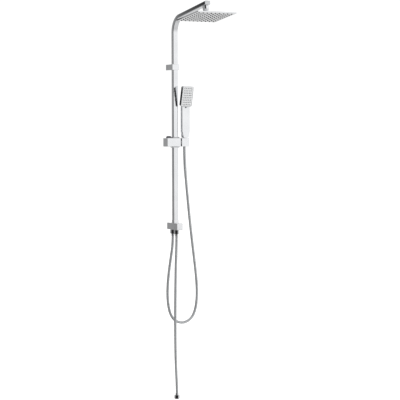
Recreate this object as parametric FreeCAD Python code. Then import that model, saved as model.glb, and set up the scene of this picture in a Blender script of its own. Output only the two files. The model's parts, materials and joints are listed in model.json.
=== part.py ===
import FreeCAD, Part
import math
import os

from FreeCAD import Vector

# Rainfall shower column. Millimetres, +Z up, the wall is the plane Y = 0 and the room lies towards -Y.
# The origin is the middle of the lower wall fixing, on the wall.

# ---- driving dimensions -------------------------------------------------------------------------
STANDOFF = 57.0  # wall to rail axis
RAIL_W, RAIL_D, RAIL_CORNER, RAIL_WALL = 29.0, 20.0, 4.5, 1.5
SLIP = 0.05  # gap of one piece inside another piece of the same body
RUN = 0.06  # radial gap of a running fit
FREE = 0.3  # gap between faces that pass each other freely
SEAM_Z = 801.0  # where the two rail tubes meet, inside the upper collar
ARM_RISE = 9.3  # degrees that the overhead arm climbs towards its tip
ARM_AXIS_Z = 1041.7  # where the arm's axis, run back, crosses the rail's axis
BEND_R = 80.0
ARM_REACH = 341.0  # rail axis to arm tip, measured level
INLET_REACH = 318.0  # rail axis to the rain head's inlet, measured level

HEAD_SIZE, HEAD_DEPTH, HEAD_CORNER = 217.0, 6.2, 5.0
HEAD_GRID, HEAD_PITCH, HEAD_TILT = 9, 22.2, 7.6
BALL_DROP, BALL_R = 48.0, 11.0  # below the arm's axis
HEAD_DROP = BALL_DROP + 12.0

DIV_HALF, DIV_FRONT = 17.0, 28.0  # diverter block: half its side, and its reach before the rail axis
HAND_OUTLET_Y, SUPPLY_INLET_Y = 26.0, -14.0  # from the rail axis, positive to the wall
KNOB_HALF, KNOB_BACK, KNOB_FRONT = 17.6, 29.5, 50.0

BRACKET_HALF_W, BRACKET_HALF_H, BRACKET_FRONT, BOSS_DEPTH = 20.0, 14.5, 13.0, 18.0
STUD_R, STUD_LEN, WALL_SCREW_R = 10.9, 14.0, 2.75

SLIDER_Z, SLIDER_LEFT, SLIDER_RIGHT = 424.0, -55.0, 23.0
SLIDER_HALF_D, SLIDER_HALF_H = 23.0, 21.4
HOLDER_X, HOLDER_HALF_W, HOLDER_FRONT, HOLDER_BACK = 45.5, 21.0, -29.3, 3.0
CRADLE_Y, PIVOT_Y = -15.5, -18.0
CONE_FOOT_Z, CONE_TOP_Z, CONE_FOOT_R, CONE_TOP_R = 404.0, 447.0, 9.4, 11.8

HANDLE_W, HANDLE_D, HANDLE_MID_Y = 45.4, 23.0, -22.0
SPRAY_W, SPRAY_L, SPRAY_T, SPRAY_LEAN = 61.0, 103.0, 20.0, 14.1
SPRAY_FOOT_Y, SPRAY_FOOT_Z = -37.0, 602.5
SPRAY_COLS, SPRAY_ROWS, SPRAY_PITCH, SPRAY_ROW_PITCH, SPRAY_GROOVE_R = 5, 8, 9.6, 11.9, 2.5

HOSE_D = 14.0
THREAD_R = 10.5  # half-inch pipe thread, as a plain bore
FERRULE_R, FLANGE_R = 7.8, 9.2

RAIL_Y = -STANDOFF


def from_rail(y):
    """A depth measured from the rail's axis, positive to the wall, as a Y in the part's frame."""
    return RAIL_Y + y


# Routes of the two hoses: X, depth from the rail's axis, Z.
SUPPLY_ROUTE = [
    (0.0, -14.0, -34.0), (0.0, -14.0, -84.0), (-4.0, -14.0, -172.0), (-7.5, -14.0, -310.0),
    (-9.5, -14.0, -470.0), (-9.0, -14.0, -620.0), (-5.5, -14.0, -735.0), (-1.0, -14.0, -805.0),
    (-1.0, -14.0, -861.0),
]
HAND_ROUTE = [
    (0.0, 26.0, -34.0), (0.0, 26.0, -90.0), (-14.0, 26.0, -170.0), (-29.5, 24.0, -265.0),
    (-35.0, 23.0, -345.0), (-30.0, 20.0, -413.0), (-17.0, 17.0, -457.0), (8.0, 14.0, -485.0),
    (43.0, 11.0, -496.0), (78.0, 8.0, -487.0), (106.0, 6.0, -460.0), (123.0, 5.0, -408.0),
    (127.0, 3.0, -331.0), (117.5, 1.0, -232.0), (93.0, -4.0, -70.0), (73.0, -9.0, 80.0),
    (58.5, -12.5, 205.0), (45.5, -15.5, 330.0), (45.5, -15.5, 398.0),
]
NECK_Z, HOSE_TOP_Z = 345.0, 433.0  # where the neck starts, and the hose's end inside its top ferrule


# ---- shape helpers ------------------------------------------------------------------------------
def block(x, y, z, edge=0.0, flat_y=None):
    """A box from three (low, high) pairs. Its edges are rounded, but not those on the plane Y = flat_y."""
    shape = Part.makeBox(x[1] - x[0], y[1] - y[0], z[1] - z[0], Vector(x[0], y[0], z[0]))
    if not edge:
        return shape
    chosen = [e for e in shape.Edges if flat_y is None or not on_plane_y(e, flat_y)]
    return shape.makeFillet(edge, chosen)


def on_plane_y(edge, y):
    return all(abs(v.Point.y - y) < 1e-6 for v in edge.Vertexes)


def upright_edges(shape):
    return [e for e in shape.Edges if abs(e.tangentAt(e.FirstParameter).z) > 0.999]


def rod(r, z0, z1, x=0.0, y=0.0):
    return Part.makeCylinder(r, z1 - z0, Vector(x, y, z0))


def rod_y(r, y0, y1, x=0.0, z=0.0):
    """A cylinder along Y, from y0 to the higher y1."""
    return Part.makeCylinder(r, y1 - y0, Vector(x, y0, z), Vector(0, 1, 0))


def rod_x(r, x0, x1, y, z):
    return Part.makeCylinder(r, x1 - x0, Vector(x0, y, z), Vector(1, 0, 0))


def washer(outer, inner, z0, z1, x=0.0, y=0.0):
    return rod(outer, z0, z1, x, y).cut(rod(inner, z0 - 1, z1 + 1, x, y))


def prism(w, d, r, z0, z1, x=0.0, y=RAIL_Y):
    """An upright prism with rounded corners, centred on x, y."""
    shape = Part.makeBox(w, d, z1 - z0, Vector(x - w / 2, y - d / 2, z0))
    return shape.makeFillet(r, upright_edges(shape))


def rail_hole(z0, z1, gap):
    return prism(RAIL_W + 2 * gap, RAIL_D + 2 * gap, RAIL_CORNER + gap, z0, z1)


def turned(profile, x=0.0, y=0.0):
    """A solid of revolution about the vertical through x, y, from (radius, z) points."""
    points = [Vector(x + r, y, z) for r, z in profile]
    face = Part.Face(Part.makePolygon(points + points[:1]))
    return face.revolve(Vector(x, y, 0), Vector(0, 0, 1), 360)


def hex_nut(flats, z0, z1, x, y, chamfer=1.2):
    corner = flats / math.sqrt(3)
    ring = [Vector(x + corner * math.cos(a), y + corner * math.sin(a), z0)
            for a in (math.radians(60 * k + 30) for k in range(6))]
    body = Part.Face(Part.makePolygon(ring + ring[:1])).extrude(Vector(0, 0, z1 - z0))
    lens = rod(corner, z0, z1, x, y)
    rims = [e for e in lens.Edges if isinstance(e.Curve, Part.Circle)]
    return body.common(lens.makeChamfer(chamfer, rims))


def octagon(w, front, back, front_cut, back_cut, z, x):
    """An eight-sided wire, level at z, between the depths front and back."""
    h = w / 2
    corners = [(-h, front + front_cut), (-h + front_cut, front), (h - front_cut, front), (h, front + front_cut),
               (h, back - back_cut), (h - back_cut, back), (-h + back_cut, back), (-h, back - back_cut)]
    points = [Vector(x + cx, from_rail(cy), z) for cx, cy in corners]
    return Part.makePolygon(points + points[:1])


def helix_spring(r, wire_r, z0, z1, turns, x, y):
    """A closed-end compression spring as a stack of level coils, each a ring of wire."""
    step = (z1 - z0 - 2 * wire_r) / (turns - 1)
    rings = [Part.makeTorus(r, wire_r, Vector(x, y, z0 + wire_r + k * step)) for k in range(turns)]
    return Part.makeCompound(rings)


def cord_path(points):
    """Straight runs joined by tangent arcs, each as large as its two runs allow. Also returns the radii."""
    edges, radii, start = [], [], points[0]
    for before, corner, after in zip(points, points[1:], points[2:]):
        way_in = (corner - before).normalize()
        way_out = (after - corner).normalize()
        turn = way_in.getAngle(way_out)
        back = 0.45 * min(corner.distanceToPoint(before), corner.distanceToPoint(after))
        radius = back / math.tan(turn / 2)
        inward = (way_out - way_in).normalize()
        a, b = corner - way_in * back, corner + way_out * back
        middle = corner + inward * (radius / math.cos(turn / 2) - radius)
        edges += [Part.LineSegment(start, a).toShape(), Part.Arc(a, middle, b).toShape()]
        radii.append(radius)
        start = b
    edges.append(Part.LineSegment(start, points[-1]).toShape())
    return Part.Wire(edges), radii


def cord(name, route):
    points = [Vector(x, from_rail(y), z) for x, y, z in route]
    path, radii = cord_path(points)
    ring = Part.Wire(Part.makeCircle(HOSE_D / 2, points[0], points[1] - points[0]))
    tube = path.makePipeShell([ring], True, False)
    ideal = math.pi * (HOSE_D / 2) ** 2 * path.Length
    print(name, "length", round(path.Length, 1), "smallest radius", round(min(radii), 1),
          "volume ratio", round(tube.Volume / ideal, 5))
    print(name, "radii", [round(r) for r in radii])
    return tube


def save(node, *shapes):
    solids = [s for shape in shapes for s in shape.Solids]
    out = solids[0] if len(solids) == 1 else Part.makeCompound(solids)
    out.exportStep("parts/" + node + ".step")
    print(node, len(solids), "solid(s)", round(out.Volume / 1000, 2), "cm3", "ok" if out.isValid() else "BAD")


# ---- the overhead arm's own level frame ---------------------------------------------------------
# The arm's tip and the rain head are drawn level, with the inlet's axis upright, then tipped as one.
INLET_Y = from_rail(-INLET_REACH)
INLET_Z = ARM_AXIS_Z + INLET_REACH * math.tan(math.radians(ARM_RISE))


def tip_up(shape):
    shape.rotate(Vector(0, INLET_Y, INLET_Z), Vector(1, 0, 0), -ARM_RISE)
    return shape


def tip_head(shape):
    """Tips a piece of the rain head, whose ball joint sets it a little flatter than the arm."""
    shape.rotate(Vector(0, INLET_Y, drop(BALL_DROP)), Vector(1, 0, 0), ARM_RISE - HEAD_TILT)
    return tip_up(shape)


def drop(d):
    """The height of a level that lies d below the arm's axis, before tipping."""
    return INLET_Z - d


def head_turned(profile):
    """A turned piece on the inlet's axis, from (radius, drop) points."""
    return turned([(r, drop(d)) for r, d in profile], 0.0, INLET_Y)


def head_ball(r):
    return Part.makeSphere(r, Vector(0, INLET_Y, drop(BALL_DROP)))


# ---- rail and arm -------------------------------------------------------------------------------
def arm_tube(w, d, r, extra=0.0):
    """The solid inside the outline w by d: up from the seam, round the bend and out along the arm."""
    turn = 90.0 - ARM_RISE
    bend_z = ARM_AXIS_Z - BEND_R * math.tan(math.radians(turn / 2))
    centre = Vector(0, RAIL_Y - BEND_R, bend_z)
    riser = prism(w, d, r, SEAM_Z, bend_z)
    section = [f for f in riser.Faces if abs(f.CenterOfMass.z - bend_z) < 1e-6][0]
    bend = section.revolve(centre, Vector(1, 0, 0), turn)
    end = section.copy()
    end.rotate(centre, Vector(1, 0, 0), turn)
    turn_rad = math.radians(turn)
    bend_end = BEND_R * (1 - math.cos(turn_rad))
    length = (ARM_REACH - bend_end) / math.sin(turn_rad) + extra
    straight = end.extrude(Vector(0, -math.sin(turn_rad), math.cos(turn_rad)) * length)
    return riser.fuse([bend, straight]).removeSplitter()


def make_rail():
    inner_w, inner_d = RAIL_W - 2 * RAIL_WALL, RAIL_D - 2 * RAIL_WALL
    inner_r = RAIL_CORNER - RAIL_WALL
    rail = prism(RAIL_W, RAIL_D, RAIL_CORNER, 9.5, SEAM_Z)
    save("lower_rail", rail.cut(prism(inner_w, inner_d, inner_r, 0, SEAM_Z + 1)))

    cap_t = 2.5
    arm = arm_tube(RAIL_W, RAIL_D, RAIL_CORNER, -cap_t)
    arm = arm.cut(arm_tube(inner_w, inner_d, inner_r, 1.0))
    arm = arm.cut(prism(inner_w, inner_d, inner_r, SEAM_Z - 1, SEAM_Z + 1))
    arm = arm.cut(tip_up(rod(THREAD_R, drop(12), drop(7), 0, INLET_Y)))
    save("overhead_arm", arm)

    tip_y = INLET_Y - (ARM_REACH - INLET_REACH) / math.cos(math.radians(ARM_RISE))
    plate = Part.makeBox(RAIL_W, cap_t, RAIL_D, Vector(-RAIL_W / 2, tip_y, drop(RAIL_D / 2)))
    along = [e for e in plate.Edges if abs(e.tangentAt(e.FirstParameter).y) > 0.999]
    plate = plate.makeFillet(RAIL_CORNER, along)
    plug = block((-inner_w / 2 + 0.1, inner_w / 2 - 0.1), (tip_y + cap_t, tip_y + cap_t + 2.0),
                 (drop(inner_d / 2 - 0.1), drop(-inner_d / 2 + 0.1)))
    plug = plug.makeFillet(inner_r, [e for e in plug.Edges if abs(e.tangentAt(e.FirstParameter).y) > 0.999])
    save("arm_end_cap", tip_up(plate.fuse(plug)))

    flange = head_turned([(7.5, 7.0), (12.0, 7.0), (12.0, 8.45), (7.5, 8.45)])
    flange = flange.common(block((-9.8, 9.8), (INLET_Y - 13, INLET_Y + 13), (drop(9), drop(6))))
    thread = head_turned([(7.5, 7.0), (THREAD_R - SLIP, 7.0), (THREAD_R - SLIP, 24.0), (7.5, 24.0)])
    save("arm_outlet_nipple", tip_up(thread.fuse(flange).removeSplitter()))

    sleeve_w, sleeve_d = inner_w - 2 * SLIP, inner_d - 2 * SLIP
    sleeve = prism(sleeve_w, sleeve_d, inner_r - SLIP, SEAM_Z - 30, SEAM_Z + 30)
    sleeve = sleeve.cut(prism(sleeve_w - 4.4, sleeve_d - 4.4, 1.0, SEAM_Z - 31, SEAM_Z + 31))
    rings = []
    for z in (SEAM_Z - 20, SEAM_Z - 12, SEAM_Z + 10.4, SEAM_Z + 18.4):
        groove = prism(sleeve_w + 1, sleeve_d + 1, inner_r, z, z + 1.8)
        sleeve = sleeve.cut(groove.cut(prism(sleeve_w - 2, sleeve_d - 2, 1.9, z - 1, z + 3)))
        ring = prism(sleeve_w, sleeve_d, inner_r - SLIP, z + 0.1, z + 1.7)
        rings.append(ring.cut(prism(sleeve_w - 1.8, sleeve_d - 1.8, 2.0, z - 1, z + 3)))
    save("rail_joint_sleeve", sleeve)
    seal = prism(RAIL_W + 1.6, RAIL_D + 1.6, 5.0, 17.6, 19.2)
    rings.append(seal.cut(rail_hole(16, 21, SLIP)))
    save("rail_o_rings", *rings)


# ---- upper wall bracket -------------------------------------------------------------------------
def make_upper_bracket():
    z = (SEAM_Z - BRACKET_HALF_H, SEAM_Z + BRACKET_HALF_H)
    x = (-BRACKET_HALF_W, BRACKET_HALF_W)
    boss = block(x, (-BOSS_DEPTH, 0.0), z, 1.2, 0.0)
    boss = boss.cut(rod_y(STUD_R + 0.1, -STUD_LEN - 0.5, 1, 0, SEAM_Z))
    boss = boss.cut(rod(2.05, z[0] - 1, SEAM_Z - STUD_R, 0, -8.0))
    save("upper_wall_boss", boss)

    collar = block(x, (from_rail(-BRACKET_FRONT), -BOSS_DEPTH - 0.05), z, 1.2)
    save("upper_rail_collar", collar.cut(rail_hole(z[0] - 1, z[1] + 1, SLIP)))

    studs, screws = [], []
    for mid_z, floor_z in ((0.0, -DIV_HALF), (SEAM_Z, z[0])):
        stud = rod_y(STUD_R, -STUD_LEN, 0.0, 0, mid_z)
        studs.append(stud.cut(rod_y(WALL_SCREW_R, -STUD_LEN - 1, 1, 0, mid_z)))
        screw = rod(2.0, floor_z + 0.3, mid_z - STUD_R - 0.02, 0, -8.0)
        screws.append(screw.cut(hex_nut(2.0, floor_z, floor_z + 2.3, 0, -8.0, 0.1)))
    save("wall_studs", *studs)
    save("wall_grub_screws", *screws)


# ---- diverter -----------------------------------------------------------------------------------
def make_diverter():
    side = (-DIV_HALF, DIV_HALF)
    front = from_rail(-DIV_FRONT)
    outlet_y, inlet_y = from_rail(HAND_OUTLET_Y), from_rail(SUPPLY_INLET_Y)
    body = block(side, (front, 0.0), side, 1.5, 0.0)
    body = body.cut(rod_y(STUD_R + 0.1, -STUD_LEN - 0.5, 1))
    body = body.cut(rod(2.05, -DIV_HALF - 1, -STUD_R, 0, -8.0))
    body = body.cut(rail_hole(9.4, DIV_HALF + 1, SLIP))
    body = body.cut(rod_y(9.6, front - 1, front + 36))
    body = body.cut(rod_y(12.05, front - 1, front + 6))
    for y, roof in ((outlet_y, -7.0), (inlet_y, -12.4)):
        body = body.cut(rod(THREAD_R, -DIV_HALF - 1, roof, 0, y))
    body = body.cut(rod(6.0, -8.0, 2.0, 0, outlet_y)).cut(rod(6.0, -13.0, -5.0, 0, inlet_y))
    body = body.cut(rod_y(6.0, front + 35, outlet_y))
    body = body.cut(block((-8, 8), (from_rail(-5), from_rail(5)), (5, 10)))
    save("diverter_body", body)

    union = prism(31.6, 22.6, 5.2, DIV_HALF + SLIP, DIV_HALF + 16.0)
    rim = [e for e in union.Edges if e.BoundBox.ZMin > DIV_HALF + 15.9]
    union = union.makeFillet(1.0, rim).cut(rail_hole(DIV_HALF - 1, DIV_HALF + 17, SLIP))
    union = union.cut(prism(RAIL_W + 1.7, RAIL_D + 1.7, 5.0, 17.5, 19.3))
    save("rail_union_collar", union)

    cartridge = rod_y(9.5, front + 6.1, front + 34).cut(rod_y(3.0 + RUN, front + 5, front + 20))
    save("diverter_cartridge", cartridge)
    gland = rod_y(12.0, front + 0.2, front + 6.0).cut(rod_y(3.6, front, front + 7))
    save("cartridge_gland", gland)
    for node, y, top in (("hand_outlet_nipple", outlet_y, -7.5), ("supply_inlet_nipple", inlet_y, -12.7)):
        save(node, washer(THREAD_R - SLIP, 7.0, -30.0, top, 0, y))

    knob_y = (from_rail(-KNOB_FRONT), from_rail(-KNOB_BACK))
    knob_x = (-KNOB_HALF, KNOB_HALF)
    knob = block(knob_x, knob_y, knob_x, 2.8)
    knob = knob.cut(block((-14, 14), (knob_y[1] - 12, knob_y[1] + 1), (-14, 14)).cut(rod_y(6.5, -200, 0)))
    knob = knob.cut(rod_y(3.0 + SLIP, knob_y[1] - 12, knob_y[1] + 1))
    knob = knob.cut(rod(1.5 + SLIP, -KNOB_HALF - 1, -2.9, 0, knob_y[1] - 5))
    save("diverter_knob", knob)
    save("diverter_spindle", rod_y(3.0, knob_y[1] - 11.5, front + 19))
    save("knob_screw", rod(1.5, -KNOB_HALF + 0.4, -3.05, 0, knob_y[1] - 5))


# ---- hoses and their fittings -------------------------------------------------------------------
def ferrule(flange_z, way, x, y):
    """The crimped end of a hose. The flange starts at flange_z, and way is +1 where the hose runs up from it."""
    ends = sorted((flange_z, flange_z + way * 15.0))
    plate = sorted((flange_z, flange_z - way * 2.0))
    sleeve = washer(FERRULE_R, HOSE_D / 2, ends[0], ends[1], x, y)
    return sleeve.fuse(washer(FLANGE_R, 4.0, plate[0], plate[1], x, y)).removeSplitter()


def make_hoses():
    rear, fore = from_rail(HAND_OUTLET_Y), from_rail(SUPPLY_INLET_Y)
    save("supply_hose", cord("supply_hose", SUPPLY_ROUTE))
    hose = cord("hand_hose", HAND_ROUTE)
    neck_zone = rod(20.0, NECK_Z, HAND_ROUTE[-1][2] + 1, HOLDER_X, from_rail(CRADLE_Y))
    save("hand_hose", hose.cut(neck_zone))
    save("hand_hose_neck", hose.common(neck_zone))
    for node, y in (("hand_hose_nut", rear), ("supply_hose_nut", fore)):
        nut = hex_nut(24.0, -38.5, -18.2, 0, y)
        nut = nut.cut(rod(THREAD_R, -34.4, -18, 0, y)).cut(rod(FERRULE_R + 0.1, -40, -30, 0, y))
        save(node, nut)
    end_x, end_z = SUPPLY_ROUTE[-1][0], SUPPLY_ROUTE[-1][2]
    save("hand_hose_ferrule", ferrule(HAND_ROUTE[0][2], -1, 0, rear))
    save("supply_hose_ferrules", ferrule(SUPPLY_ROUTE[0][2], -1, 0, fore), ferrule(end_z, 1, end_x, fore))
    washers = [washer(FLANGE_R, 5.5, -32.0, -30.0, 0, y) for y in (rear, fore)]
    washers.append(washer(FLANGE_R, 5.5, end_z - 4.0, end_z - 2.0, end_x, fore))
    save("hose_washers", *washers)

    nut = hex_nut(24.0, end_z - 15.0, end_z + 4.0, end_x, fore)
    nut = nut.cut(rod(THREAD_R, end_z - 16, end_z - 4.2, end_x, fore))
    nut = nut.cut(rod(FLANGE_R + FREE, end_z - 5, end_z + 0.4, end_x, fore))
    nut = nut.cut(rod(FERRULE_R + RUN, end_z, end_z + 5, end_x, fore))
    save("supply_end_nut", nut)

    cradle_y = from_rail(CRADLE_Y)
    save("hand_hose_end", rod(HOSE_D / 2, HAND_ROUTE[-1][2], HOSE_TOP_Z, HOLDER_X, cradle_y))


# ---- slider -------------------------------------------------------------------------------------
BUTTON_X, BUTTON_Y, BUTTON_HALF_D = -37.0, -4.0, 8.0
POCKET_FLOOR = SLIDER_Z - 6.0
BRAKE_Z = SLIDER_Z - 14.5


def make_slider():
    top, foot = SLIDER_Z + SLIDER_HALF_H, SLIDER_Z - SLIDER_HALF_H
    depth = (from_rail(-SLIDER_HALF_D), from_rail(SLIDER_HALF_D))
    whole = block((SLIDER_LEFT, SLIDER_RIGHT), depth, (foot, top), 1.8)
    cap_x = SLIDER_LEFT + 4.0
    cap = whole.common(block((SLIDER_LEFT - 1, cap_x), (-200, 0), (0, 600)))
    body = whole.common(block((cap_x + SLIP, SLIDER_RIGHT + 1), (-200, 0), (0, 600)))
    save("slider_end_cap", cap.fuse(rod_x(5.0, cap_x, cap_x + 3, RAIL_Y, BRAKE_Z)))

    bush_w, bush_d = RAIL_W + 6.0, RAIL_D + 6.0
    body = body.cut(prism(bush_w + 0.1, bush_d + 0.1, 5.0, foot - 1, top + 1))
    by = from_rail(BUTTON_Y)
    pocket = block((BUTTON_X - 13.4, BUTTON_X + 13.4), (by - 8.4, by + 8.4), (SLIDER_Z + 8, top + 1))
    body = body.cut(pocket).cut(rod(7.2, POCKET_FLOOR, SLIDER_Z + 9, BUTTON_X, by))
    body = body.cut(rod_x(5.2, cap_x - 1, -15, RAIL_Y, BRAKE_Z))
    pivot_y = from_rail(PIVOT_Y)
    body = body.cut(rod_x(3.0 + RUN, 1.0, SLIDER_RIGHT + 1, pivot_y, SLIDER_Z))
    body = body.cut(rod(1.55, foot - 1, SLIDER_Z - 2.5, 8.0, pivot_y))
    save("slider_body", body)

    for node, ends, flange in (
        ("upper_rail_bush", (SLIDER_Z + 0.1, top + 5.2), (top + 0.1, top + 5.2)),
        ("lower_rail_bush", (foot - 5.2, SLIDER_Z - 0.1), (foot - 5.2, foot - 0.1)),
    ):
        bush = prism(bush_w, bush_d, 4.9, *ends).fuse(prism(41.0, 29.0, 6.0, *flange)).removeSplitter()
        save(node, bush.cut(rail_hole(ends[0] - 1, ends[1] + 1, 0.08)))

    plunger = rod_x(5.0, -31.0, -bush_w / 2 - 0.1, RAIL_Y, BRAKE_Z)
    save("brake_plunger", plunger.fuse(rod_x(2.2, -38.0, -31.0, RAIL_Y, BRAKE_Z)))
    spring = helix_spring(3.6, 0.55, 0.0, 16.6, 7, 0, 0)
    spring.rotate(Vector(0, 0, 0), Vector(0, 1, 0), 90)
    spring.translate(Vector(-47.8, RAIL_Y, BRAKE_Z))
    save("brake_spring", spring)
    save("pivot_lock_screw", rod(1.5, foot + 0.4, SLIDER_Z - 3.6, 8.0, pivot_y))
    friction = rod_x(9.0, SLIDER_RIGHT + 0.02, HOLDER_X - HOLDER_HALF_W - 0.3, pivot_y, SLIDER_Z)
    save("pivot_washer", friction.cut(rod_x(3.4, 0, 40, pivot_y, SLIDER_Z)))

    base = block((BUTTON_X - 13.0, BUTTON_X + 13.0), (by - BUTTON_HALF_D, by + BUTTON_HALF_D),
                 (SLIDER_Z + 13.5, top + 0.6))
    low = Part.makePolygon([Vector(BUTTON_X + a, by + b, top + 0.6) for a, b in
                            ((-13, -8), (13, -8), (13, 8), (-13, 8), (-13, -8))])
    high = Part.makePolygon([Vector(BUTTON_X + a, by + b, top + 10.4) for a, b in
                             ((-8.5, -7), (8.5, -7), (8.5, 7), (-8.5, 7), (-8.5, -7))])
    cap_top = Part.makeLoft([low, high], True, True)
    rim = [e for e in cap_top.Edges if e.BoundBox.ZMax > top + 5]
    cap_top = cap_top.makeFillet(1.2, rim)
    stem = rod(2.5, SLIDER_Z - 1.2, SLIDER_Z + 13.6, BUTTON_X, by)
    save("slider_button", base.fuse([cap_top, stem]).removeSplitter())
    save("button_spring", helix_spring(4.6, 0.6, POCKET_FLOOR + 0.02, SLIDER_Z + 13.48, 8, BUTTON_X, by))


# ---- holder -------------------------------------------------------------------------------------
def cone(r_gap, z0, z1):
    """The conical nut's outline between two heights, made larger by r_gap."""
    slope = (CONE_TOP_R - CONE_FOOT_R) / (CONE_TOP_Z - CONE_FOOT_Z)
    r0, r1 = (CONE_FOOT_R + slope * (z - CONE_FOOT_Z) + r_gap for z in (z0, z1))
    return Part.makeCone(r0, r1, z1 - z0, Vector(HOLDER_X, from_rail(CRADLE_Y), z0))


def make_holder():
    z = (SLIDER_Z - SLIDER_HALF_H, SLIDER_Z + SLIDER_HALF_H)
    right = HOLDER_X + HOLDER_HALF_W
    left = HOLDER_X - HOLDER_HALF_W
    body = block((left, right), (from_rail(HOLDER_FRONT), from_rail(HOLDER_BACK)), z, 0.9)
    body = body.cut(cone(0.35, z[0] - 1, z[1] + 1))
    slot_y = from_rail(CRADLE_Y)
    body = body.cut(block((HOLDER_X, right + 1), (slot_y - 7.6, slot_y + 7.6), (z[0] - 1, z[1] + 1)))
    pivot_y = from_rail(PIVOT_Y)
    body = body.cut(rod_x(3.0 + SLIP, left - 1, left + 6.2, pivot_y, SLIDER_Z))
    save("holder_cradle", body)
    pin = rod_x(3.0, 1.5, left + 6.0, pivot_y, SLIDER_Z)
    groove = rod_x(3.5, 5.8, 10.2, pivot_y, SLIDER_Z).cut(rod_x(2.2, 5, 11, pivot_y, SLIDER_Z))
    save("pivot_pin", pin.cut(groove))


# ---- hand shower --------------------------------------------------------------------------------
def lean(shape):
    """Tips a piece that was drawn upright on the spray head's foot forwards by the head's lean."""
    shape.rotate(Vector(0, from_rail(SPRAY_FOOT_Y), SPRAY_FOOT_Z), Vector(1, 0, 0), SPRAY_LEAN)
    return shape


def spray_slab(inset, front, back, corner):
    """An upright slab with the spray head's outline less inset, from front to back behind the face plane."""
    y = from_rail(SPRAY_FOOT_Y)
    half = SPRAY_W / 2 - inset
    slab = block((HOLDER_X - half, HOLDER_X + half), (y + front, y + back),
                 (SPRAY_FOOT_Z + inset, SPRAY_FOOT_Z + SPRAY_L - inset))
    return slab.makeFillet(corner, [e for e in slab.Edges if abs(e.tangentAt(e.FirstParameter).y) > 0.999])


def spray_grid():
    mid_z = SPRAY_FOOT_Z + SPRAY_L / 2
    for i in range(SPRAY_COLS):
        for j in range(SPRAY_ROWS):
            yield (HOLDER_X + (i - (SPRAY_COLS - 1) / 2) * SPRAY_PITCH,
                   mid_z + (j - (SPRAY_ROWS - 1) / 2) * SPRAY_ROW_PITCH)


def groove(z):
    """A shallow rounded groove across the spray face, along one row of nozzles."""
    half, r = (SPRAY_COLS - 1) / 2 * SPRAY_PITCH, SPRAY_GROOVE_R
    y = from_rail(SPRAY_FOOT_Y) + 0.4
    ends = [rod_y(r, y - 1, y + 0.7, HOLDER_X + way * half, z) for way in (-1, 1)]
    middle = block((HOLDER_X - half, HOLDER_X + half), (y - 1, y + 0.7), (z - r, z + r))
    return middle.fuse(ends).removeSplitter()


def make_hand_shower():
    front, back = HANDLE_MID_Y - HANDLE_D / 2, HANDLE_MID_Y + HANDLE_D / 2
    x = HOLDER_X
    foot = Part.makeLoft([octagon(30.0, front, -4.5, 2.0, 8.0, CONE_TOP_Z + 0.3, x),
                          octagon(HANDLE_W, front, back, 2.0, 7.0, 481.0, x)], True, True)
    stem = Part.Face(octagon(HANDLE_W, front, back, 2.0, 7.0, 481.0, x)).extrude(Vector(0, 0, 119.0))
    crown = Part.makeLoft([octagon(HANDLE_W, front, back, 2.0, 7.0, 600.0, x),
                           octagon(40.0, -39.5, -30.0, 2.0, 2.0, 655.0, x)], True, True)
    slab = spray_slab(0.0, 0.0, SPRAY_T, 8.0)
    slab = slab.makeFillet(2.0, [e for e in slab.Edges if e.BoundBox.YMin > from_rail(SPRAY_FOOT_Y) + 19])
    body = foot.fuse([stem, crown, lean(slab)]).removeSplitter()
    body = body.cut(lean(spray_slab(1.6, -1.0, SPRAY_T - 3.0, 6.4)))
    waterway_top = SPRAY_FOOT_Z + 20
    axis_y = from_rail(CRADLE_Y)
    body = body.cut(rod(6.05, CONE_TOP_Z - 1, 606.0, x, axis_y - 2.5))
    body = body.cut(rod(THREAD_R, CONE_TOP_Z - 1, CONE_TOP_Z + 12, x, axis_y))
    body = body.cut(block((x - 6, x + 6), (from_rail(-34), from_rail(-14)), (596.0, waterway_top)))
    save("shower_body", body)
    save("waterway_tube", washer(6.0, 4.6, CONE_TOP_Z + 12.1, 595.0, x, axis_y - 2.5))

    face_y = from_rail(SPRAY_FOOT_Y)
    face = spray_slab(1.75, 0.4, 2.4, 6.2)
    rim = [e for e in face.Edges if e.BoundBox.YMax < face_y + 0.5]
    face = face.makeFillet(0.8, rim)
    mat = spray_slab(2.4, 2.5, 4.5, 5.5)
    nozzles = []
    for nx, nz in spray_grid():
        face = face.cut(rod_y(2.3, face_y - 1, face_y + 3, nx, nz))
        if nx == HOLDER_X:
            face = face.cut(groove(nz))
        nozzles.append(Part.makeCone(1.5, 2.1, 3.9, Vector(nx, face_y - 0.9, nz), Vector(0, 1, 0)))
    save("shower_face", lean(face))
    save("shower_nozzles", lean(mat.fuse(nozzles).removeSplitter()))

    nut = cone(0.0, CONE_FOOT_Z, CONE_TOP_Z)
    nut = nut.cut(rod(FERRULE_R + 0.12, CONE_FOOT_Z - 1, 434, x, axis_y))
    nut = nut.cut(rod(THREAD_R, 432.7, CONE_TOP_Z + 1, x, axis_y))
    save("cone_nut", nut)
    save("shower_nipple", washer(THREAD_R - SLIP, 6.5, 437.1, CONE_TOP_Z + 11.9, x, axis_y))
    save("shower_washer", washer(FLANGE_R, 5.5, 435.05, 437.05, x, axis_y))
    save("hand_hose_top_ferrule", ferrule(HOSE_TOP_Z, -1, x, axis_y))


# ---- rain head ----------------------------------------------------------------------------------
def head_square(inset, d0, d1, corner):
    side = HEAD_SIZE - 2 * inset
    return prism(side, side, corner, drop(d1), drop(d0), 0.0, INLET_Y)


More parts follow.
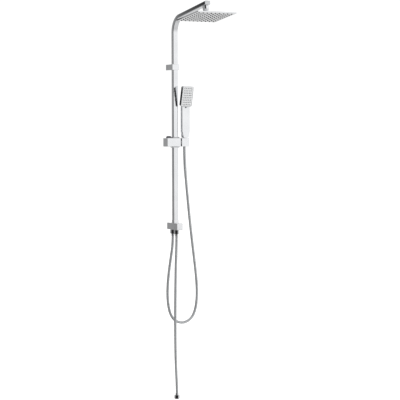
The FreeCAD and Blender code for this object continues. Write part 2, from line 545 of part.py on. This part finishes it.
def make_rain_head():
    nut_foot = BALL_DROP - BALL_R
    nut = head_turned([(THREAD_R, 10.4), (14.4, 10.4), (15.2, 11.2), (15.2, 27.5), (11.5, nut_foot),
                       (5.4, nut_foot), (5.4, 29.3), (THREAD_R, 29.3)])
    save("swivel_nut", tip_up(nut))
    save("swivel_washer", tip_up(head_turned([(5.5, 24.1), (10.2, 24.1), (10.2, 26.0), (5.5, 26.0)])))
    neck_foot = BALL_DROP - 5.0
    stud = head_turned([(2.5, 26.1), (10.2, 26.1), (10.2, 29.2), (5.0, 29.2), (5.0, neck_foot), (2.5, neck_foot)])
    ball = head_ball(BALL_R).cut(rod(2.5, drop(BALL_DROP + 20), drop(BALL_DROP - 20), 0, INLET_Y))
    save("ball_stud", tip_up(stud.fuse(ball).removeSplitter()))

    seat = head_ball(BALL_R + RUN)
    ring = head_turned([(0.0, BALL_DROP - 7.0), (13.3, BALL_DROP - 7.0), (16.0, BALL_DROP - 4.3),
                        (16.0, BALL_DROP - 0.05), (0.0, BALL_DROP - 0.05)])
    save("ball_retaining_ring", tip_head(ring.cut(seat)))
    boss = head_turned([(0.0, BALL_DROP + 0.05), (16.0, BALL_DROP + 0.05), (16.0, HEAD_DROP - 3.0),
                        (21.0, HEAD_DROP - 1.6), (21.0, HEAD_DROP - SLIP), (0.0, HEAD_DROP - SLIP)])
    boss = boss.cut(seat).cut(rod(8.0, drop(HEAD_DROP + 5), drop(BALL_DROP + 3), 0, INLET_Y))
    save("head_inlet_boss", tip_head(boss))

    rim_drop = HEAD_DROP + HEAD_DEPTH
    shell = head_square(0.0, HEAD_DROP, rim_drop, HEAD_CORNER)
    upper = [e for e in shell.Edges if e.BoundBox.ZMin > drop(HEAD_DROP) - 0.01]
    shell = shell.makeFillet(2.0, upper)
    shell = shell.cut(head_square(1.6, HEAD_DROP + 1.6, rim_drop + 1, HEAD_CORNER - 1.6))
    shell = shell.cut(rod(8.0, drop(HEAD_DROP + 5), drop(HEAD_DROP - 5), 0, INLET_Y))
    save("head_back_shell", tip_head(shell))

    mat_drop, plate_drop, plate_foot = HEAD_DROP + 4.1, HEAD_DROP + 5.4, HEAD_DROP + 7.0
    gasket = head_square(1.8, mat_drop, plate_drop - 0.1, 3.2)
    save("head_gasket", tip_head(gasket.cut(head_square(4.0, mat_drop - 1, plate_drop + 1, 2.5))))
    plate = head_square(1.75, plate_drop, plate_foot, 3.2)
    lower = [e for e in plate.Edges if e.BoundBox.ZMax < drop(plate_foot) + 0.01]
    plate = plate.makeFillet(0.6, lower)
    mat = head_square(4.2, mat_drop, plate_drop - 0.1, 2.5)
    holes, nozzles = [], []
    for i in range(HEAD_GRID):
        for j in range(HEAD_GRID):
            nx = (i - (HEAD_GRID - 1) / 2) * HEAD_PITCH
            ny = INLET_Y + (j - (HEAD_GRID - 1) / 2) * HEAD_PITCH
            holes.append(rod(3.3, drop(plate_foot + 1), drop(plate_drop - 0.5), nx, ny))
            nozzles.append(Part.makeCone(2.0, 3.0, 3.8, Vector(nx, ny, drop(plate_foot + 2.0))))
    save("head_face_plate", tip_head(plate.cut(Part.makeCompound(holes))))
    save("head_nozzles", tip_head(mat.fuse(nozzles).removeSplitter()))


os.makedirs("parts", exist_ok=True)
make_rail()
make_upper_bracket()
make_diverter()
make_hoses()
make_slider()
make_holder()
make_hand_shower()
make_rain_head()
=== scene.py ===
import json
import math

import bpy
from mathutils import Matrix, Vector


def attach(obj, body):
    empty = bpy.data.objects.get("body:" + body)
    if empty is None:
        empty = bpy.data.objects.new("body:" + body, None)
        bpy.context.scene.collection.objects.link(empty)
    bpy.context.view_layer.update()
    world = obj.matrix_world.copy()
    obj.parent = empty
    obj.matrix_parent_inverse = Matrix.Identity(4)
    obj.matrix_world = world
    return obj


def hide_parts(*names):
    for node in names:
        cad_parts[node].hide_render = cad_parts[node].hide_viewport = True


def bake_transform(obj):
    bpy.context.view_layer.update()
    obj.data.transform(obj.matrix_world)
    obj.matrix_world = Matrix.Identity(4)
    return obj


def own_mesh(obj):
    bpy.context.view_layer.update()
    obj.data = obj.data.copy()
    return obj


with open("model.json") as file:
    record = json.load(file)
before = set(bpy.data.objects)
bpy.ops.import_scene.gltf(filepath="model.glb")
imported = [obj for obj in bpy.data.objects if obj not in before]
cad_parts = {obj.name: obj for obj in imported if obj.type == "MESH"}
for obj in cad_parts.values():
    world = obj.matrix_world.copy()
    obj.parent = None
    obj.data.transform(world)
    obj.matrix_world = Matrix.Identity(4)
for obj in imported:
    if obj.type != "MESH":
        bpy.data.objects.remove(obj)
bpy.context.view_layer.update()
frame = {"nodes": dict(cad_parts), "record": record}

NODES = frame["nodes"]
RAIL_Y = -0.057  # the rail's axis, in front of the wall at y = 0


# ---- camera -------------------------------------------------------------------------------------
# It stands about 7 m away, left of straight ahead, and looks slightly down. Angles are in degrees.
CAMERA_PLACE, CAMERA_LENS = (-3.364, -6.400, 0.491), 128.1
CAMERA_YAW, CAMERA_PITCH, CAMERA_ROLL = 28.94, -2.86, -0.17


def make_camera():
    yaw, pitch, roll = (math.radians(a) for a in (CAMERA_YAW, CAMERA_PITCH, CAMERA_ROLL))
    ahead = Vector((math.sin(yaw) * math.cos(pitch), math.cos(yaw) * math.cos(pitch), math.sin(pitch)))
    level = Vector((math.cos(yaw), -math.sin(yaw), 0.0))
    up = level.cross(ahead)
    right = level * math.cos(roll) + up * math.sin(roll)
    up = up * math.cos(roll) - level * math.sin(roll)
    data = bpy.data.cameras.new("camera")
    data.lens, data.sensor_width, data.clip_end = CAMERA_LENS, 36.0, 100.0
    camera = bpy.data.objects.new("camera", data)
    bpy.context.scene.collection.objects.link(camera)
    turn = Matrix((right, up, -ahead)).transposed()
    camera.matrix_world = Matrix.Translation(CAMERA_PLACE) @ turn.to_4x4()
    bpy.context.scene.camera = camera


# ---- node helpers -------------------------------------------------------------------------------
class Graph:
    """A short way to write a node tree."""

    def __init__(self, tree):
        self.tree = tree
        tree.nodes.clear()

    def add(self, kind, inputs=None, **settings):
        node = self.tree.nodes.new(kind)
        for key, value in settings.items():
            setattr(node, key, value)
        for key, value in (inputs or {}).items():
            self.put(node, key, value)
        return node

    def put(self, node, key, value):
        if isinstance(value, bpy.types.NodeSocket):
            self.tree.links.new(value, node.inputs[key])
        else:
            node.inputs[key].default_value = value

    def math(self, operation, a, b=0.0, clamp=False):
        node = self.add("ShaderNodeMath", {0: a, 1: b}, operation=operation, use_clamp=clamp)
        return node.outputs[0]

    def ramp(self, fac, stops, mode="LINEAR"):
        node = self.add("ShaderNodeValToRGB", {0: fac})
        band = node.color_ramp
        band.interpolation = mode
        while len(band.elements) < len(stops):
            band.elements.new(0.5)
        for element, (place, value) in zip(band.elements, stops):
            element.position = place
            element.color = (*value, 1.0) if isinstance(value, tuple) else (value, value, value, 1.0)
        return node.outputs[0]

    def noise(self, vector, scale, detail=3.0, roughness=0.5):
        return self.add("ShaderNodeTexNoise", {"Vector": vector, "Scale": scale, "Detail": detail,
                                               "Roughness": roughness}).outputs["Fac"]

    def place(self, stretch=(1.0, 1.0, 1.0)):
        """The point on the piece in its own frame, stretched along the axes."""
        here = self.add("ShaderNodeTexCoord").outputs["Object"]
        return self.add("ShaderNodeMapping", {"Vector": here, "Scale": stretch}).outputs[0]


def new_graph(name):
    material = bpy.data.materials.new(name)
    material.use_nodes = True
    return material, Graph(material.node_tree)


def finish_material(g, **inputs):
    shader = g.add("ShaderNodeBsdfPrincipled", {k.replace("_", " "): v for k, v in inputs.items()})
    out = g.add("ShaderNodeOutputMaterial")
    g.tree.links.new(shader.outputs[0], out.inputs["Surface"])
    return shader


def metal(name, tint, rough, grain=(1.0, 1.0, 1.0), grain_scale=900.0, grain_depth=0.00001, wipe=0.04):
    """A plated or polished metal: faint clouds of tone, wipe marks in the gloss, fine grain in the relief."""
    material, g = new_graph(name)
    cloud = g.noise(g.place(), 18.0, 4.0)
    low = tuple(c * 0.95 for c in tint)
    color = g.ramp(cloud, [(0.35, low), (0.65, tint)])
    smear = g.noise(g.place((1.0, 1.0, 0.35)), 42.0, 5.0, 0.6)
    least = max(rough - wipe / 2, 0.02)
    gloss = g.add("ShaderNodeMapRange", {"Value": smear, "From Min": 0.3, "From Max": 0.7,
                                         "To Min": least, "To Max": rough + wipe}).outputs[0]
    fine = g.noise(g.place(grain), grain_scale, 2.0)
    bump = g.add("ShaderNodeBump", {"Height": fine, "Strength": 0.25, "Distance": grain_depth})
    finish_material(g, Base_Color=color, Metallic=1.0, Roughness=gloss, Normal=bump.outputs[0])
    return material


def plastic(name, low, high, rough, scale=60.0, depth=0.00008, coat=0.0):
    material, g = new_graph(name)
    tone = g.noise(g.place(), scale, 4.0)
    color = g.ramp(tone, [(0.3, low), (0.7, high)])
    gloss = g.add("ShaderNodeMapRange", {"Value": tone, "To Min": rough - 0.06,
                                         "To Max": rough + 0.08}).outputs[0]
    fine = g.noise(g.place(), scale * 18.0, 2.0)
    bump = g.add("ShaderNodeBump", {"Height": fine, "Strength": 0.3, "Distance": depth})
    finish_material(g, Base_Color=color, Roughness=gloss, Normal=bump.outputs[0], Coat_Weight=coat)
    return material


def hose_material():
    """Silver foil under a clear sleeve. The spiral is in the mesh; flakes and patches vary the tone."""
    material, g = new_graph("hose_silver")
    flakes = g.noise(g.place(), 700.0, 2.0, 0.7)
    patches = g.noise(g.place((1.0, 1.0, 0.5)), 30.0, 3.0)
    mixed = g.math("ADD", g.math("MULTIPLY", flakes, 0.6), g.math("MULTIPLY", patches, 0.4))
    color = g.ramp(mixed, [(0.3, (0.36, 0.37, 0.38)), (0.7, (0.52, 0.53, 0.54))])
    gloss = g.add("ShaderNodeMapRange", {"Value": patches, "To Min": 0.2, "To Max": 0.34}).outputs[0]
    bump = g.add("ShaderNodeBump", {"Height": flakes, "Strength": 0.2, "Distance": 0.00003})
    finish_material(g, Base_Color=color, Metallic=0.55, Roughness=gloss, Normal=bump.outputs[0],
                    Coat_Weight=0.5, Coat_Roughness=0.08)
    return material


def make_materials():
    chrome = (0.83, 0.84, 0.855)
    return {
        "chrome_brass": metal("chrome_on_brass", chrome, 0.07),
        "chrome_abs": metal("chrome_on_plastic", chrome, 0.09, grain_scale=600.0, grain_depth=0.00002),
        "brushed_tube": metal("polished_tube", (0.81, 0.82, 0.835), 0.10, (1.0, 1.0, 0.03), 1500.0),
        "face_plate": metal("chromed_face_sheet", (0.90, 0.905, 0.91), 0.26, (1.0, 0.04, 1.0), 1200.0),
        "satin_face": plastic("satin_spray_face", (0.56, 0.565, 0.57), (0.62, 0.625, 0.63), 0.30,
                              90.0, 0.00002, 0.3),
        "spray_silicone": plastic("light_grey_silicone", (0.20, 0.205, 0.21), (0.27, 0.275, 0.28), 0.45),
        "dark_trim": plastic("dark_grey_gloss", (0.07, 0.07, 0.08), (0.10, 0.10, 0.11), 0.22),
        "stainless": metal("stainless_parts", (0.62, 0.63, 0.64), 0.22),
        "hose": hose_material(),
        "seal_rubber": plastic("black_seal_rubber", (0.02, 0.02, 0.02), (0.05, 0.05, 0.05), 0.55),
        "nozzle_silicone": plastic("grey_silicone", (0.028, 0.03, 0.032), (0.05, 0.052, 0.055), 0.5),
        "grey_acetal": plastic("grey_acetal", (0.42, 0.43, 0.44), (0.52, 0.53, 0.54), 0.35),
    }


# The hand shower's face and nozzles are lighter than the other pieces in their slots.
OWN_LOOK = {"shower_face": "satin_face", "shower_nozzles": "spray_silicone"}


def dress_cad_nodes(materials):
    slots = {part["node"]: part["material_slot"] for part in frame["record"]["subparts"]}
    for name, node in NODES.items():
        node.data.materials.clear()
        node.data.materials.append(materials[OWN_LOOK.get(name, slots[name])])


# ---- hoses --------------------------------------------------------------------------------------
HOSE_R, HOSE_PITCH, GROOVE_DEPTH = 0.007, 0.0042, 0.00032
SUPPLY_ROUTE = [
    (0.0, -14.0, -34.0), (0.0, -14.0, -84.0), (-4.0, -14.0, -172.0), (-7.5, -14.0, -310.0),
    (-9.5, -14.0, -470.0), (-9.0, -14.0, -620.0), (-5.5, -14.0, -735.0), (-1.0, -14.0, -805.0),
    (-1.0, -14.0, -861.0),
]
HAND_ROUTE = [
    (0.0, 26.0, -34.0), (0.0, 26.0, -90.0), (-14.0, 26.0, -170.0), (-29.5, 24.0, -265.0),
    (-35.0, 23.0, -345.0), (-30.0, 20.0, -413.0), (-17.0, 17.0, -457.0), (8.0, 14.0, -485.0),
    (43.0, 11.0, -496.0), (78.0, 8.0, -487.0), (106.0, 6.0, -460.0), (123.0, 5.0, -408.0),
    (127.0, 3.0, -331.0), (117.5, 1.0, -232.0), (93.0, -4.0, -70.0), (73.0, -9.0, 80.0),
    (58.5, -12.5, 205.0), (45.5, -15.5, 330.0), (45.5, -15.5, 398.0),
]
NECK_Z, HOLDER_FOOT_Z, NECK_END_Z = 0.345, 0.398, 0.452
INNER_END_Z = (0.4045, 0.42, 0.433)  # the hose's last stretch, inside the conical nut


def in_metres(route):
    return [Vector((x / 1000.0, RAIL_Y + y / 1000.0, z / 1000.0)) for x, y, z in route]


def spline_line(name, points, steps=24):
    """Points along a smooth spline that rounds the route's corners and touches its inner legs midway."""
    data = bpy.data.curves.new(name, "CURVE")
    data.dimensions = "3D"
    data.resolution_u = steps
    spline = data.splines.new("NURBS")
    spline.points.add(len(points) - 1)
    for place, point in zip(spline.points, points):
        place.co = (*point, 1.0)
    spline.order_u = 3
    spline.use_endpoint_u = True
    carrier = bpy.data.objects.new(name, data)
    mesh = bpy.data.meshes.new_from_object(carrier)
    line = [v.co.copy() for v in mesh.vertices]
    bpy.data.objects.remove(carrier)
    bpy.data.curves.remove(data)
    bpy.data.meshes.remove(mesh)
    return line


def ring_faces(first, rings, sides):
    """The side faces of a tube whose rings of vertices start at the vertex numbered first."""
    for i in range(rings - 1):
        for k in range(sides):
            a, b = first + i * sides + k, first + i * sides + (k + 1) % sides
            yield a, b, b + sides, a + sides


def mesh_piece(name, verts, faces, material=None):
    """A new object whose four-sided faces are smooth and whose end caps are flat."""
    mesh = bpy.data.meshes.new(name)
    mesh.from_pydata([tuple(v) for v in verts], [], faces)
    mesh.polygons.foreach_set("use_smooth", [len(face) == 4 for face in faces])
    if material:
        mesh.materials.append(material)
    piece = bpy.data.objects.new(name, mesh)
    bpy.context.scene.collection.objects.link(piece)
    return piece


def even_line(line, gap):
    """The same line as points that are gap apart, all but the last."""
    out, carried = [line[0]], 0.0
    for a, b in zip(line, line[1:]):
        length = (b - a).length
        while carried + length >= gap:
            a = a.lerp(b, (gap - carried) / length)
            out.append(a.copy())
            length, carried = (b - a).length, 0.0
        carried += length
    if carried > gap * 0.3:
        out.append(line[-1])
    else:
        out[-1] = line[-1]
    return out


def hose_mesh(name, line, phase=0.0, sides=28):
    """A hose wall with one spiral groove, swept along the line without twisting."""
    gap = HOSE_PITCH / 6.0
    points = even_line(line, gap)
    verts = []
    ahead = (points[1] - points[0]).normalized()
    side = ahead.orthogonal().normalized()
    for i, point in enumerate(points):
        before, after = points[max(i - 1, 0)], points[min(i + 1, len(points) - 1)]
        new_ahead = (after - before).normalized()
        side = ahead.rotation_difference(new_ahead) @ side
        side = (side - new_ahead * side.dot(new_ahead)).normalized()
        ahead = new_ahead
        other = ahead.cross(side)
        run = i * gap
        for k in range(sides):
            angle = 2.0 * math.pi * k / sides
            wave = math.cos(angle - 2.0 * math.pi * (run / HOSE_PITCH) + phase)
            radius = HOSE_R - GROOVE_DEPTH * max(0.0, wave) ** 3
            verts.append(point + (side * math.cos(angle) + other * math.sin(angle)) * radius)
    rings = len(points)
    faces = list(ring_faces(0, rings, sides))
    faces.append(tuple(reversed(range(sides))))
    faces.append(tuple(range((rings - 1) * sides, rings * sides)))
    return mesh_piece(name, verts, faces), points


def make_hoses(materials):
    supply, supply_path = hose_mesh("supply_hose_spiral", spline_line("supply_line", in_metres(SUPPLY_ROUTE)))
    supply.data.materials.append(materials["hose"])
    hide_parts("supply_hose")
    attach(supply, "column")

    line = spline_line("hand_line", in_metres(HAND_ROUTE))
    main = [p for p in line if p.z < NECK_Z]
    neck = [p for p in line if p.z >= NECK_Z]
    cut = Vector((neck[0].x, neck[0].y, NECK_Z))
    main.append(cut)
    neck = [cut] + neck[:-1] + [Vector((line[-1].x, line[-1].y, HOLDER_FOOT_Z)),
                                Vector((line[-1].x, line[-1].y, NECK_END_Z))]
    hose, hose_path = hose_mesh("hand_hose_spiral", main)
    turns = 2.0 * math.pi * (sum((b - a).length for a, b in zip(main, main[1:])) / HOSE_PITCH % 1.0)
    upper, _ = hose_mesh("hand_hose_neck_spiral", neck, phase=-turns)
    inner, _ = hose_mesh("hand_hose_inner_end", [Vector((line[-1].x, line[-1].y, z)) for z in INNER_END_Z])
    for piece in (hose, upper, inner):
        piece.data.materials.append(materials["hose"])
    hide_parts("hand_hose")
    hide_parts("hand_hose_neck")
    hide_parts("hand_hose_end")
    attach(inner, "hand_shower")
    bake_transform(hose)
    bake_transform(upper)


# ---- rain head nozzles --------------------------------------------------------------------------
ARM_RISE, HEAD_TILT = math.radians(9.3), math.radians(7.6)
INLET_REACH, ARM_AXIS_Z = 0.318, 1.0417
BALL_DROP, FACE_DROP = 0.048, 0.067  # below the arm's axis, along the inlet
HEAD_GRID, HEAD_PITCH = 9, 0.0222
# Radius and height in mm of one silicone nozzle, from the face: a wide foot, a tapering tip, the jet's hole.
NOZZLE = [(4.3, -0.2), (4.3, 0.5), (3.9, 0.8), (3.0, 1.1), (2.7, 1.9), (2.5, 2.2), (1.5, 2.2), (1.2, 1.9),
          (1.1, 0.9)]


def head_matrix():
    """Takes a point drawn upright under the inlet to its place on the tilted head."""
    inlet = Vector((0.0, RAIL_Y - INLET_REACH, ARM_AXIS_Z + INLET_REACH * math.tan(ARM_RISE)))
    ball = Matrix.Translation((0.0, 0.0, -BALL_DROP))
    return (Matrix.Translation(inlet) @ Matrix.Rotation(-ARM_RISE, 4, "X") @ ball
            @ Matrix.Rotation(ARM_RISE - HEAD_TILT, 4, "X") @ ball.inverted())


def make_nozzles(materials):
    to_head, sides = head_matrix(), 20
    verts, faces = [], []
    middle = (HEAD_GRID - 1) / 2
    for i in range(HEAD_GRID * HEAD_GRID):
        x, y = (i // HEAD_GRID - middle) * HEAD_PITCH, (i % HEAD_GRID - middle) * HEAD_PITCH
        first = len(verts)
        for radius, height in NOZZLE:
            for k in range(sides):
                angle = 2.0 * math.pi * k / sides
                verts.append(to_head @ Vector((x + radius * math.cos(angle) / 1000.0,
                                               y + radius * math.sin(angle) / 1000.0,
                                               -FACE_DROP - height / 1000.0)))
        faces += [(b, a, d, c) for a, b, c, d in ring_faces(first, len(NOZZLE), sides)]
        faces.append(tuple(first + k for k in range(sides)))
        last = first + (len(NOZZLE) - 1) * sides
        faces.append(tuple(last + k for k in reversed(range(sides))))
    tips = mesh_piece("rain_nozzle_tips", verts, faces, materials["nozzle_silicone"])
    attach(tips, "rain_head")


# ---- button spring ------------------------------------------------------------------------------
SPRING_R, WIRE_R, SPRING_TURNS = 0.0046, 0.0006, 7
SPRING_FOOT, SPRING_TOP, BUTTON_TRAVEL, SPRING_SLACK = 0.41802, 0.43748, 0.003, 0.0001
SPRING_X, SPRING_Y = -0.037, RAIL_Y - 0.004


def make_button_spring(materials):
    """The button's spring as one helix of round wire."""
    steps, sides = 32 * SPRING_TURNS, 12
    low, high = SPRING_FOOT + WIRE_R, SPRING_TOP - WIRE_R
    verts = []
    for i in range(steps + 1):
        turn = 2.0 * math.pi * SPRING_TURNS * i / steps
        outward = Vector((math.cos(turn), math.sin(turn), 0.0))
        middle = Vector((SPRING_X, SPRING_Y, low + (high - low) * i / steps)) + outward * SPRING_R
        for k in range(sides):
            angle = 2.0 * math.pi * k / sides
            rise = Vector((0.0, 0.0, WIRE_R * math.sin(angle)))
            verts.append(middle + outward * WIRE_R * math.cos(angle) + rise)
    faces = list(ring_faces(0, steps + 1, sides))
    faces.append(tuple(reversed(range(sides))))
    faces.append(tuple(steps * sides + k for k in range(sides)))
    coil = mesh_piece("button_spring_coil", verts, faces, materials["stainless"])
    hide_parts("button_spring")
    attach(coil, "slider")
    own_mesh(coil)


# ---- light and floor ----------------------------------------------------------------------------
# Brightness by direction, as the turn from -Y towards +X: 0 and 1 are +Y, 0.25 is -X, 0.5 is -Y, 0.75 is +X.
STUDIO_TURN = [(0.0, 0.74), (0.04, 0.36), (0.12, 0.33), (0.22, 0.42), (0.29, 0.40), (0.335, 0.10),
               (0.37, 0.025), (0.455, 0.025), (0.485, 0.55), (0.51, 0.92), (0.57, 1.0), (0.66, 1.0),
               (0.75, 0.85), (0.85, 0.85), (0.91, 1.0), (0.96, 1.0), (1.0, 0.74)]
STUDIO_HEIGHT = [(0.0, 0.72), (0.25, 0.66), (0.35, 0.70), (0.44, 0.86), (0.5, 1.0), (0.72, 1.0), (1.0, 0.85)]
STUDIO_OVERHEAD, OVERHEAD_GREY = [(0.71, 0.0), (0.76, 1.0)], (0.72, 0.72, 0.72, 1.0)


def make_world():
    """A studio by direction: bright on the right, dark at front left, grey on the left and overhead."""
    scene = bpy.context.scene
    world = bpy.data.worlds.new("studio")
    scene.world = world
    world.use_nodes = True
    g = Graph(world.node_tree)
    way = g.add("ShaderNodeTexCoord").outputs["Generated"]
    parts = g.add("ShaderNodeSeparateXYZ", {0: way}).outputs
    angle = g.math("ARCTAN2", parts[0], g.math("MULTIPLY", parts[1], -1.0))
    turn = g.math("ADD", g.math("DIVIDE", angle, 2.0 * math.pi), 0.5)
    around = g.ramp(turn, STUDIO_TURN)
    height = g.math("ADD", g.math("MULTIPLY", parts[2], 0.5), 0.5)
    tall = g.ramp(height, STUDIO_HEIGHT)
    both = g.add("ShaderNodeMixRGB", {0: 1.0, 1: around, 2: tall}, blend_type="MULTIPLY").outputs[0]
    overhead = g.ramp(height, STUDIO_OVERHEAD)
    both = g.add("ShaderNodeMixRGB", {0: overhead, 1: both, 2: OVERHEAD_GREY}).outputs[0]
    light = g.add("ShaderNodeBackground", {"Color": both, "Strength": 1.05})
    plain = g.add("ShaderNodeBackground", {"Color": (1.0, 1.0, 1.0, 1.0), "Strength": 1.1})
    seen = g.add("ShaderNodeLightPath").outputs["Is Camera Ray"]
    mix = g.add("ShaderNodeMixShader", {0: seen, 1: light.outputs[0], 2: plain.outputs[0]})
    g.add("ShaderNodeOutputWorld", {"Surface": mix.outputs[0]})


def make_light(name, place, aim, size, power):
    data = bpy.data.lights.new(name, "AREA")
    data.shape, data.size, data.energy = "SQUARE", size, power
    lamp = bpy.data.objects.new(name, data)
    bpy.context.scene.collection.objects.link(lamp)
    lamp.location = place
    lamp.visible_glossy = False
    lamp.rotation_euler = (Vector(aim) - Vector(place)).to_track_quat("-Z", "Y").to_euler()


def make_arm_board():
    """A board seen only in reflections, left of the column, that shades the arm's side towards its tip."""
    x, near_end, dark_end, light_end, low, high = -0.25, -0.08, 0.02, 0.34, 1.0, 1.30
    mesh = bpy.data.meshes.new("arm_board")
    mesh.from_pydata([(x, near_end, low), (x, light_end, low), (x, light_end, high), (x, near_end, high)],
                     [], [(0, 1, 2, 3)])
    board = bpy.data.objects.new("arm_board", mesh)
    bpy.context.scene.collection.objects.link(board)
    material, g = new_graph("arm_board")
    along = g.add("ShaderNodeSeparateXYZ", {0: g.add("ShaderNodeTexCoord").outputs["Object"]}).outputs[1]
    tone = g.add("ShaderNodeMapRange", {"Value": along, "From Min": dark_end, "From Max": light_end,
                                        "To Min": 0.03, "To Max": 0.17}).outputs[0]
    glow = g.add("ShaderNodeEmission", {"Color": g.ramp(tone, [(0.0, 0.0), (1.0, 1.0)])})
    g.add("ShaderNodeOutputMaterial", {"Surface": glow.outputs[0]})
    mesh.materials.append(material)
    board.visible_camera = board.visible_diffuse = board.visible_shadow = False


def make_studio():
    make_world()
    make_arm_board()
    make_light("key_softbox", (2.6, -3.0, 2.2), (0.0, -0.1, 0.2), 2.4, 60.0)
    half, level = 30.0, -0.90
    mesh = bpy.data.meshes.new("studio_floor")
    corners = [(x * half, y * half, level) for x, y in ((-1, -1), (1, -1), (1, 1), (-1, 1))]
    mesh.from_pydata(corners, [], [(0, 1, 2, 3)])
    floor = bpy.data.objects.new("studio_floor", mesh)
    bpy.context.scene.collection.objects.link(floor)
    material, g = new_graph("pale_floor")
    tone = g.ramp(g.noise(g.place(), 2.0, 2.0), [(0.3, 0.80), (0.7, 0.82)])
    finish_material(g, Base_Color=tone, Roughness=0.9, Emission_Color=(1.0, 1.0, 1.0, 1.0),
                    Emission_Strength=0.70)
    mesh.materials.append(material)
    floor.visible_glossy = False
    bpy.context.scene.view_settings.view_transform = "Standard"


make_camera()
MATERIALS = make_materials()
dress_cad_nodes(MATERIALS)
make_hoses(MATERIALS)
make_nozzles(MATERIALS)
make_button_spring(MATERIALS)
make_studio()
